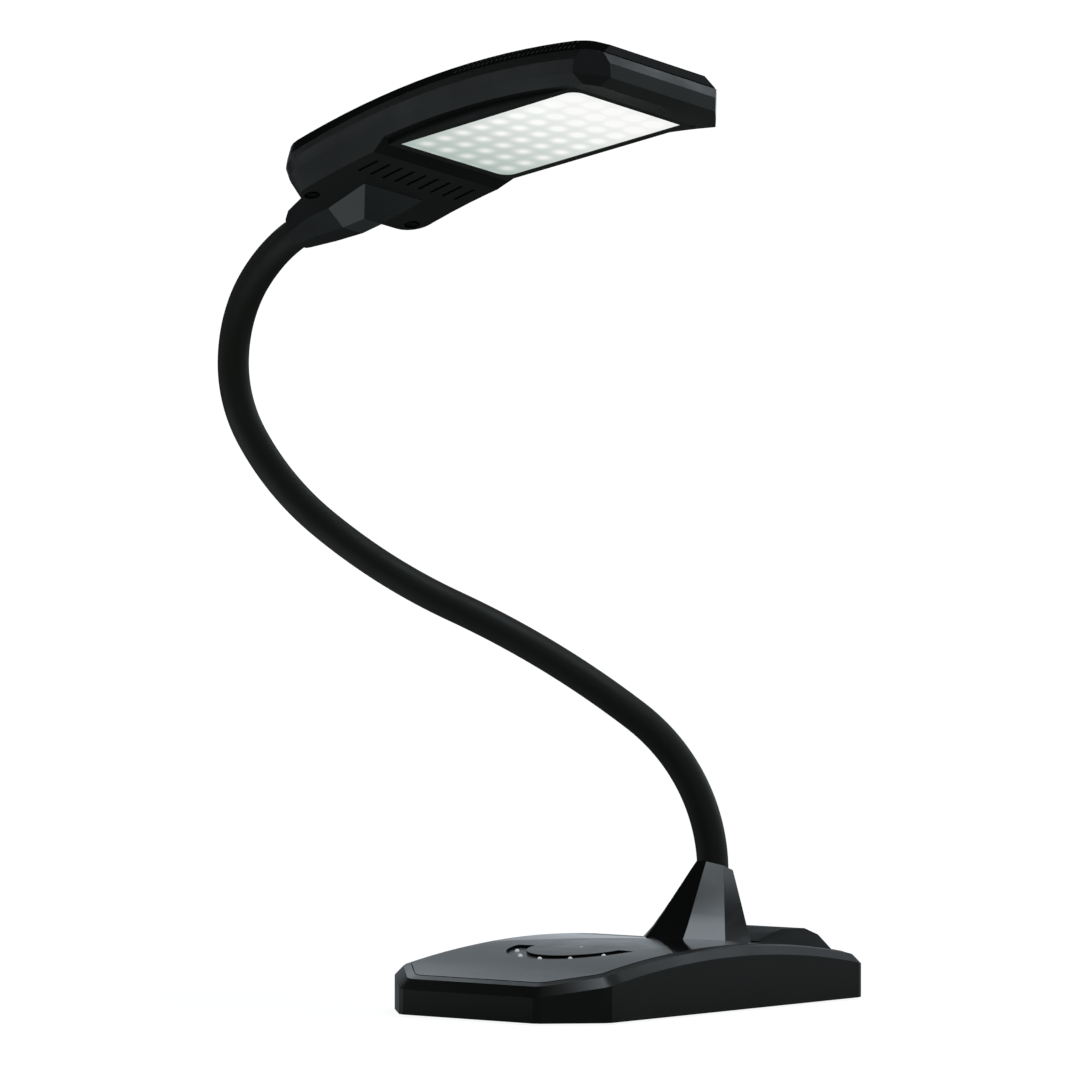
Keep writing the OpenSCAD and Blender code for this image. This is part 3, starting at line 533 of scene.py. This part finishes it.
gn.links.new(level, ramp.inputs[0])
gn.links.new(ramp.outputs[0], gs.inputs["Emission Color"])
gs.inputs["Base Color"].default_value = (0.06, 0.065, 0.06, 1)
gs.inputs["Roughness"].default_value = 0.4
gs.inputs["Emission Strength"].default_value = 0.95
window = new_piece(sheet, "diffuser_sheet", glow, "head", HEAD)
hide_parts("diffuser")
print("window area:", round(sum(f.area for f in window.data.polygons) * 1e4, 1), "cm2 in all")

# %% [markdown]
# ## The level lights
# The five light pipes in the slider's groove end in small milky domes. The pipes are one node, so its
# parts are told apart by walking along their edges, and each gets a dome on its top.

# %% Domes
DOME_R = 1.1
dots = bpy.data.materials.new("level_dots")
dots.use_nodes = True
ds = dots.node_tree.nodes["Principled BSDF"]
ds.inputs["Base Color"].default_value = (0.8, 0.82, 0.84, 1)
ds.inputs["Roughness"].default_value = 0.3
ds.inputs["Emission Color"].default_value = (0.9, 0.95, 1, 1)
ds.inputs["Emission Strength"].default_value = 0.35
paint(["level_lights", "leds"], dots)
domes = bmesh.new()
lights = bmesh.new()
lights.from_mesh(nodes["level_lights"].data)
bmesh.ops.remove_doubles(lights, verts=lights.verts, dist=0.00002)
unseen = set(lights.verts)
tops = []
while unseen:
    reached = {unseen.pop()}
    island = set()
    while reached:
        vert = reached.pop()
        island.add(vert)
        reached |= {e.other_vert(vert) for e in vert.link_edges} & unseen
        unseen -= reached
    top = max(v.co.z for v in island)
    middle = sum((v.co for v in island), Vector()) / len(island)
    tops.append(Vector((middle.x, middle.y, top)))
lights.free()
for top in tops:
    bmesh.ops.create_uvsphere(domes, u_segments=24, v_segments=12, radius=DOME_R * MM,
                              matrix=Matrix.Translation(top + Vector((0, 0, 0.1 * MM))))
level_domes = new_piece(domes, "level_domes", dots, "base")
print("level domes:", len(tops))

# %% [markdown]
# ## Ribs along the top cover
# Both long edges of the glossy cover carry two rows of short slanted ribs near the tip. Each is a
# small bar that sinks halfway into the cover's side band, so that its ends never show.

# %% Slanted ribs
HEAD_R, PEAK = 538.0, -11.6
COVER_R, COVER_PEAK = 589.0, -13.0
RIB_FIRST, RIB_PITCH, RIB_COUNT = -12, 3.1, 27
RIB_SLANT = 35
RIB_SIZE = (0.7, 1.6, 0.5)
BAND_TILT = 68
RIB_ROWS = ((42.1, 0.25, 22.77), (41.3, 0.75, 24.8))    # beside the middle, share of cover arch, height


def arch(u, up, radius=HEAD_R, peak=PEAK):
    """Height of an arched surface over the window's plane, in millimetres."""
    return up - radius + math.sqrt(radius ** 2 - (u - peak) ** 2)


ribs = bmesh.new()
for side in (-1, 1):
    for k in range(RIB_COUNT):
        for row, (v, share, up) in enumerate(RIB_ROWS):
            u = RIB_FIRST + k * RIB_PITCH + row * 1.5
            slope = math.degrees(math.asin((u - COVER_PEAK) / COVER_R))
            height = share * arch(u, up, COVER_R, COVER_PEAK) + (1 - share) * arch(u, up)
            place = (Matrix.Translation((u * MM, side * v * MM, height * MM)) @ turn(slope, "Y")
                     @ turn(-side * BAND_TILT, "X") @ turn(side * RIB_SLANT, "Z"))
            bmesh.ops.create_cube(ribs, size=MM, matrix=place @ Matrix.Diagonal((*RIB_SIZE, 1)))
bmesh.ops.recalc_face_normals(ribs, faces=ribs.faces)
# The ribs' light grey stands in for the glints along them: a painted highlight on black ribs.
rib_highlight_grey = plastic("rib_highlight_grey", (0.06, 0.062, 0.06), (0.25, 0.35), bump=0.05)
rib_rows = new_piece(ribs, "cover_ribs", rib_highlight_grey, "head", HEAD, bevel=0.1)
print("rib bars:", len(rib_rows.data.polygons) // 6)

# %% [markdown]
# ## The touch mark
# A small printed ring with a bar in it shows where to touch. It is a thin film on the arched panel,
# so it is tilted with the surface where it lies.

# %% Printed mark
END_WALL, RISE, HALF_L, LIFT = 11.8, 13.6, 122.2, 1.0
MARK_Y, PANEL_UP, FILM = -38.0, 4.9, 0.08
BASE_R = (HALF_L ** 2 + RISE ** 2) / (2 * RISE)


def base_height(y, up):
    """Height of the base's arched surface over the desk, in millimetres."""
    return LIFT + END_WALL + RISE + up - BASE_R + math.sqrt(BASE_R ** 2 - y * y)


mark = bmesh.new()
bmesh.ops.create_circle(mark, cap_ends=True, segments=48, radius=2.5 * MM)
bmesh.ops.inset_region(mark, faces=list(mark.faces), thickness=0.6 * MM)
bmesh.ops.delete(mark, geom=[f for f in mark.faces if len(f.verts) > 4], context="FACES")
thick = bmesh.ops.extrude_face_region(mark, geom=list(mark.faces))
bmesh.ops.translate(mark, vec=(0, 0, FILM * MM),
                    verts=[g for g in thick["geom"] if isinstance(g, bmesh.types.BMVert)])
bmesh.ops.create_cube(mark, size=MM, matrix=Matrix.Translation((0, 0, FILM / 2 * MM))
                      @ Matrix.Diagonal((0.7, 2.2, FILM, 1)))
bmesh.ops.recalc_face_normals(mark, faces=mark.faces)
tilt = math.degrees(math.asin(-MARK_Y / BASE_R))
place = Matrix.Translation((0, MARK_Y * MM, (base_height(MARK_Y, PANEL_UP) - 0.02) * MM)) @ turn(tilt, "X")
# The printed mark takes the glowing level dots material, so its faint glow is painted light.
touch_mark = new_piece(mark, "touch_mark", dots, "base", place)
print("mark at", [round(v * 1000, 1) for v in place.translation])
